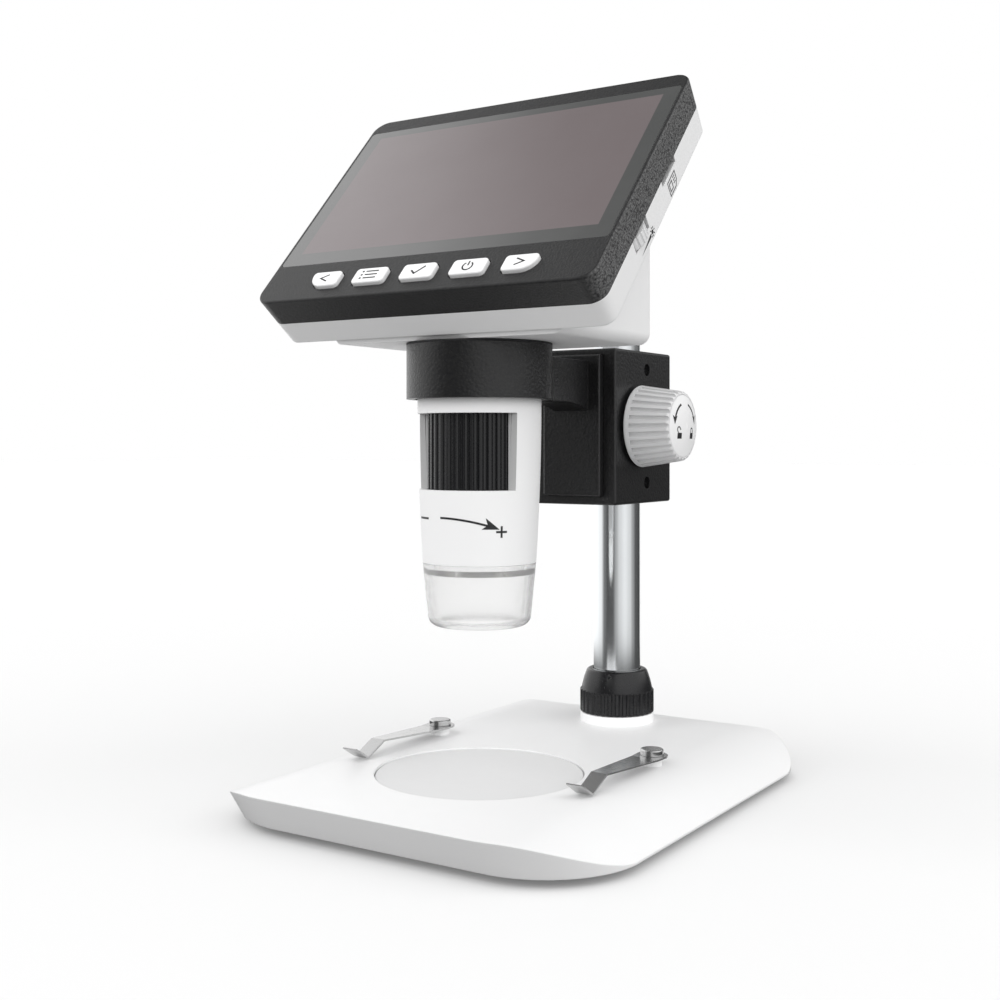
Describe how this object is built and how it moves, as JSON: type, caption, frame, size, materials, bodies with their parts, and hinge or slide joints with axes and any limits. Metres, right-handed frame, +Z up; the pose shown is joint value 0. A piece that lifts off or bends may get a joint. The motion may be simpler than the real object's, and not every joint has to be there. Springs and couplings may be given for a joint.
{
  "type": "digital microscope",
  "caption": "Digital microscope on a pole stand: a leaning display head with a focus barrel and clear cup hangs in a sliding bracket over a flat base with a stage disc and spring clips.",
  "frame": {"origin": "on the table under the middle of the base's rectangle", "axes": "+Z up along the pole, -Y towards the user and the screen's front, +X towards the lock knob and the card slot"},
  "size_m": [0.1188, 0.1548, 0.2025],
  "materials": {
    "white_plastic": "fine satin",
    "stage_plastic": "matte",
    "grey_plastic": "matte",
    "black_plastic": "fine grain",
    "bezel_plastic": "grained",
    "button_plastic": "gloss",
    "sleeve_plastic": "matte",
    "foot_rubber": "matte",
    "screw_steel": "zinc plated",
    "spring_steel": "brushed",
    "socket_steel": "bright",
    "pole_metal": "fine brushed",
    "ballast_iron": "rough",
    "optical_glass": "polished",
    "window_glass": "polished",
    "clear_plastic": "clear moulded plastic",
    "lcd_dark": "satin",
    "led_lens": "gloss",
    "circuit_board": "solder mask",
    "chip_black": "matte",
    "flex_film": "satin film",
    "battery_wrap": "shrink wrap"
  },
  "bodies": {
    "stand": {"base_shell": "white_plastic", "base_bottom": "grey_plastic", "base_screws": "screw_steel", "rubber_feet": "foot_rubber", "ballast_plate": "ballast_iron", "clip_posts": "spring_steel", "pole_socket": "white_plastic", "pole_tube": "pole_metal", "pole_plug": "grey_plastic", "pole_bolt": "screw_steel", "pole_washer": "screw_steel", "pole_cap": "black_plastic"},
    "collet": {"collet_nut": "black_plastic"},
    "stage": {"stage_disc": "stage_plastic"},
    "clip_left": {"clip_left": "spring_steel"},
    "clip_right": {"clip_right": "spring_steel"},
    "liner": {"pole_liner": "grey_plastic"},
    "bracket": {"slider_block": "black_plastic", "drag_screws": "screw_steel", "holder": "black_plastic", "holder_screws": "screw_steel"},
    "lock": {"lock_knob": "white_plastic", "knob_cap": "white_plastic", "clamp_screw": "screw_steel"},
    "cotter": {"draw_cotter": "screw_steel"},
    "sleeve": {"ring_liner": "sleeve_plastic"},
    "head": {"barrel_shell": "white_plastic", "barrel_screws": "screw_steel", "focus_guide": "black_plastic", "sensor_board": "circuit_board", "image_sensor": "chip_black", "sensor_flex": "flex_film", "led_board": "circuit_board", "leds": "led_lens", "clear_cup": "clear_plastic", "bezel": "bezel_plastic", "display_window": "window_glass", "lcd_panel": "lcd_dark", "switches": "chip_black", "button_board": "circuit_board", "rear_shell": "white_plastic", "shell_screws": "screw_steel", "main_board": "circuit_board", "board_screws": "screw_steel", "card_socket": "socket_steel", "charge_port": "socket_steel", "dimmer_pot": "chip_black", "battery": "battery_wrap"},
    "focus": {"focus_wheel": "black_plastic"},
    "carriage": {"lens_carriage": "black_plastic", "lens_front": "optical_glass", "lens_rear": "optical_glass"},
    "brightness": {"brightness_wheel": "black_plastic"},
    "button_previous": {"button_previous": "button_plastic"},
    "button_menu": {"button_menu": "button_plastic"},
    "button_select": {"button_select": "button_plastic"},
    "button_power": {"button_power": "button_plastic"},
    "button_next": {"button_next": "button_plastic"}
  },
  "joints": [
    {"name": "bracket_slide", "type": "slide", "parent": "stand", "child": "liner", "axis": [0, 0, 1], "range_m": [-0.03, 0.015]},
    {"name": "bracket_swivel", "type": "hinge", "parent": "liner", "child": "bracket", "pos_m": [0, 0.0577, 0.10775], "axis": [0, 0, 1], "continuous": true},
    {"name": "lock_turn", "type": "hinge", "parent": "bracket", "child": "lock", "pos_m": [0, 0.0455, 0.108], "axis": [1, 0, 0], "range_deg": [0, 270]},
    {"name": "cotter_slide", "type": "slide", "parent": "bracket", "child": "cotter", "axis": [-1, 0, 0], "range_m": [0, 0.00094]},
    {"name": "head_turn", "type": "hinge", "parent": "bracket", "child": "sleeve", "pos_m": [0, -0.0237, 0.1222], "axis": [0, 0, 1], "range_deg": [-85, 85]},
    {"name": "head_lift", "type": "slide", "parent": "sleeve", "child": "head", "axis": [0, 0, 1], "range_m": [0, 0.08]},
    {"name": "nut_turn", "type": "hinge", "parent": "stand", "child": "collet", "pos_m": [0, 0.0577, 0.02], "axis": [0, 0, 1], "range_deg": [0, 360]},
    {"name": "clip_left_swing", "type": "hinge", "parent": "stand", "child": "clip_left", "pos_m": [-0.0366, 0.0091, 0.0146], "axis": [0, 0, -1], "range_deg": [-45, 20]},
    {"name": "clip_right_swing", "type": "hinge", "parent": "stand", "child": "clip_right", "pos_m": [0.0366, 0.0091, 0.0146], "axis": [0, 0, 1], "range_deg": [-45, 20]},
    {"name": "stage_lift", "type": "slide", "parent": "stand", "child": "stage", "axis": [0, 0, 1], "range_m": [0, 0.008]},
    {"name": "focus_turn", "type": "hinge", "parent": "head", "child": "focus", "pos_m": [0, -0.0237, 0.10045], "axis": [0, 0, 1], "range_deg": [-150, 150]},
    {"name": "carriage_slide", "type": "slide", "parent": "head", "child": "carriage", "axis": [0, 0, 1], "range_m": [-0.007, 0.007]},
    {"name": "brightness_turn", "type": "hinge", "parent": "head", "child": "brightness", "pos_m": [0.04735, -0.02993, 0.15495], "axis": [0, -0.7373, 0.6756], "range_deg": [-140, 140]},
    {"name": "button_previous_press", "type": "slide", "parent": "head", "child": "button_previous", "axis": [0, 0.7373, -0.6756], "range_m": [0, 0.0006], "stiffness_N_per_m": 900, "springref_m": -0.0002},
    {"name": "button_menu_press", "type": "slide", "parent": "head", "child": "button_menu", "axis": [0, 0.7373, -0.6756], "range_m": [0, 0.0006], "stiffness_N_per_m": 900, "springref_m": -0.0002},
    {"name": "button_select_press", "type": "slide", "parent": "head", "child": "button_select", "axis": [0, 0.7373, -0.6756], "range_m": [0, 0.0006], "stiffness_N_per_m": 900, "springref_m": -0.0002},
    {"name": "button_power_press", "type": "slide", "parent": "head", "child": "button_power", "axis": [0, 0.7373, -0.6756], "range_m": [0, 0.0006], "stiffness_N_per_m": 900, "springref_m": -0.0002},
    {"name": "button_next_press", "type": "slide", "parent": "head", "child": "button_next", "axis": [0, 0.7373, -0.6756], "range_m": [0, 0.0006], "stiffness_N_per_m": 900, "springref_m": -0.0002}
  ],
  "couplings": [
    {"joint": "lock_turn", "follows": "cotter_slide", "rad_per_m": 5013},
    {"joint": "focus_turn", "follows": "carriage_slide", "rad_per_m": 373.9}
  ]
}
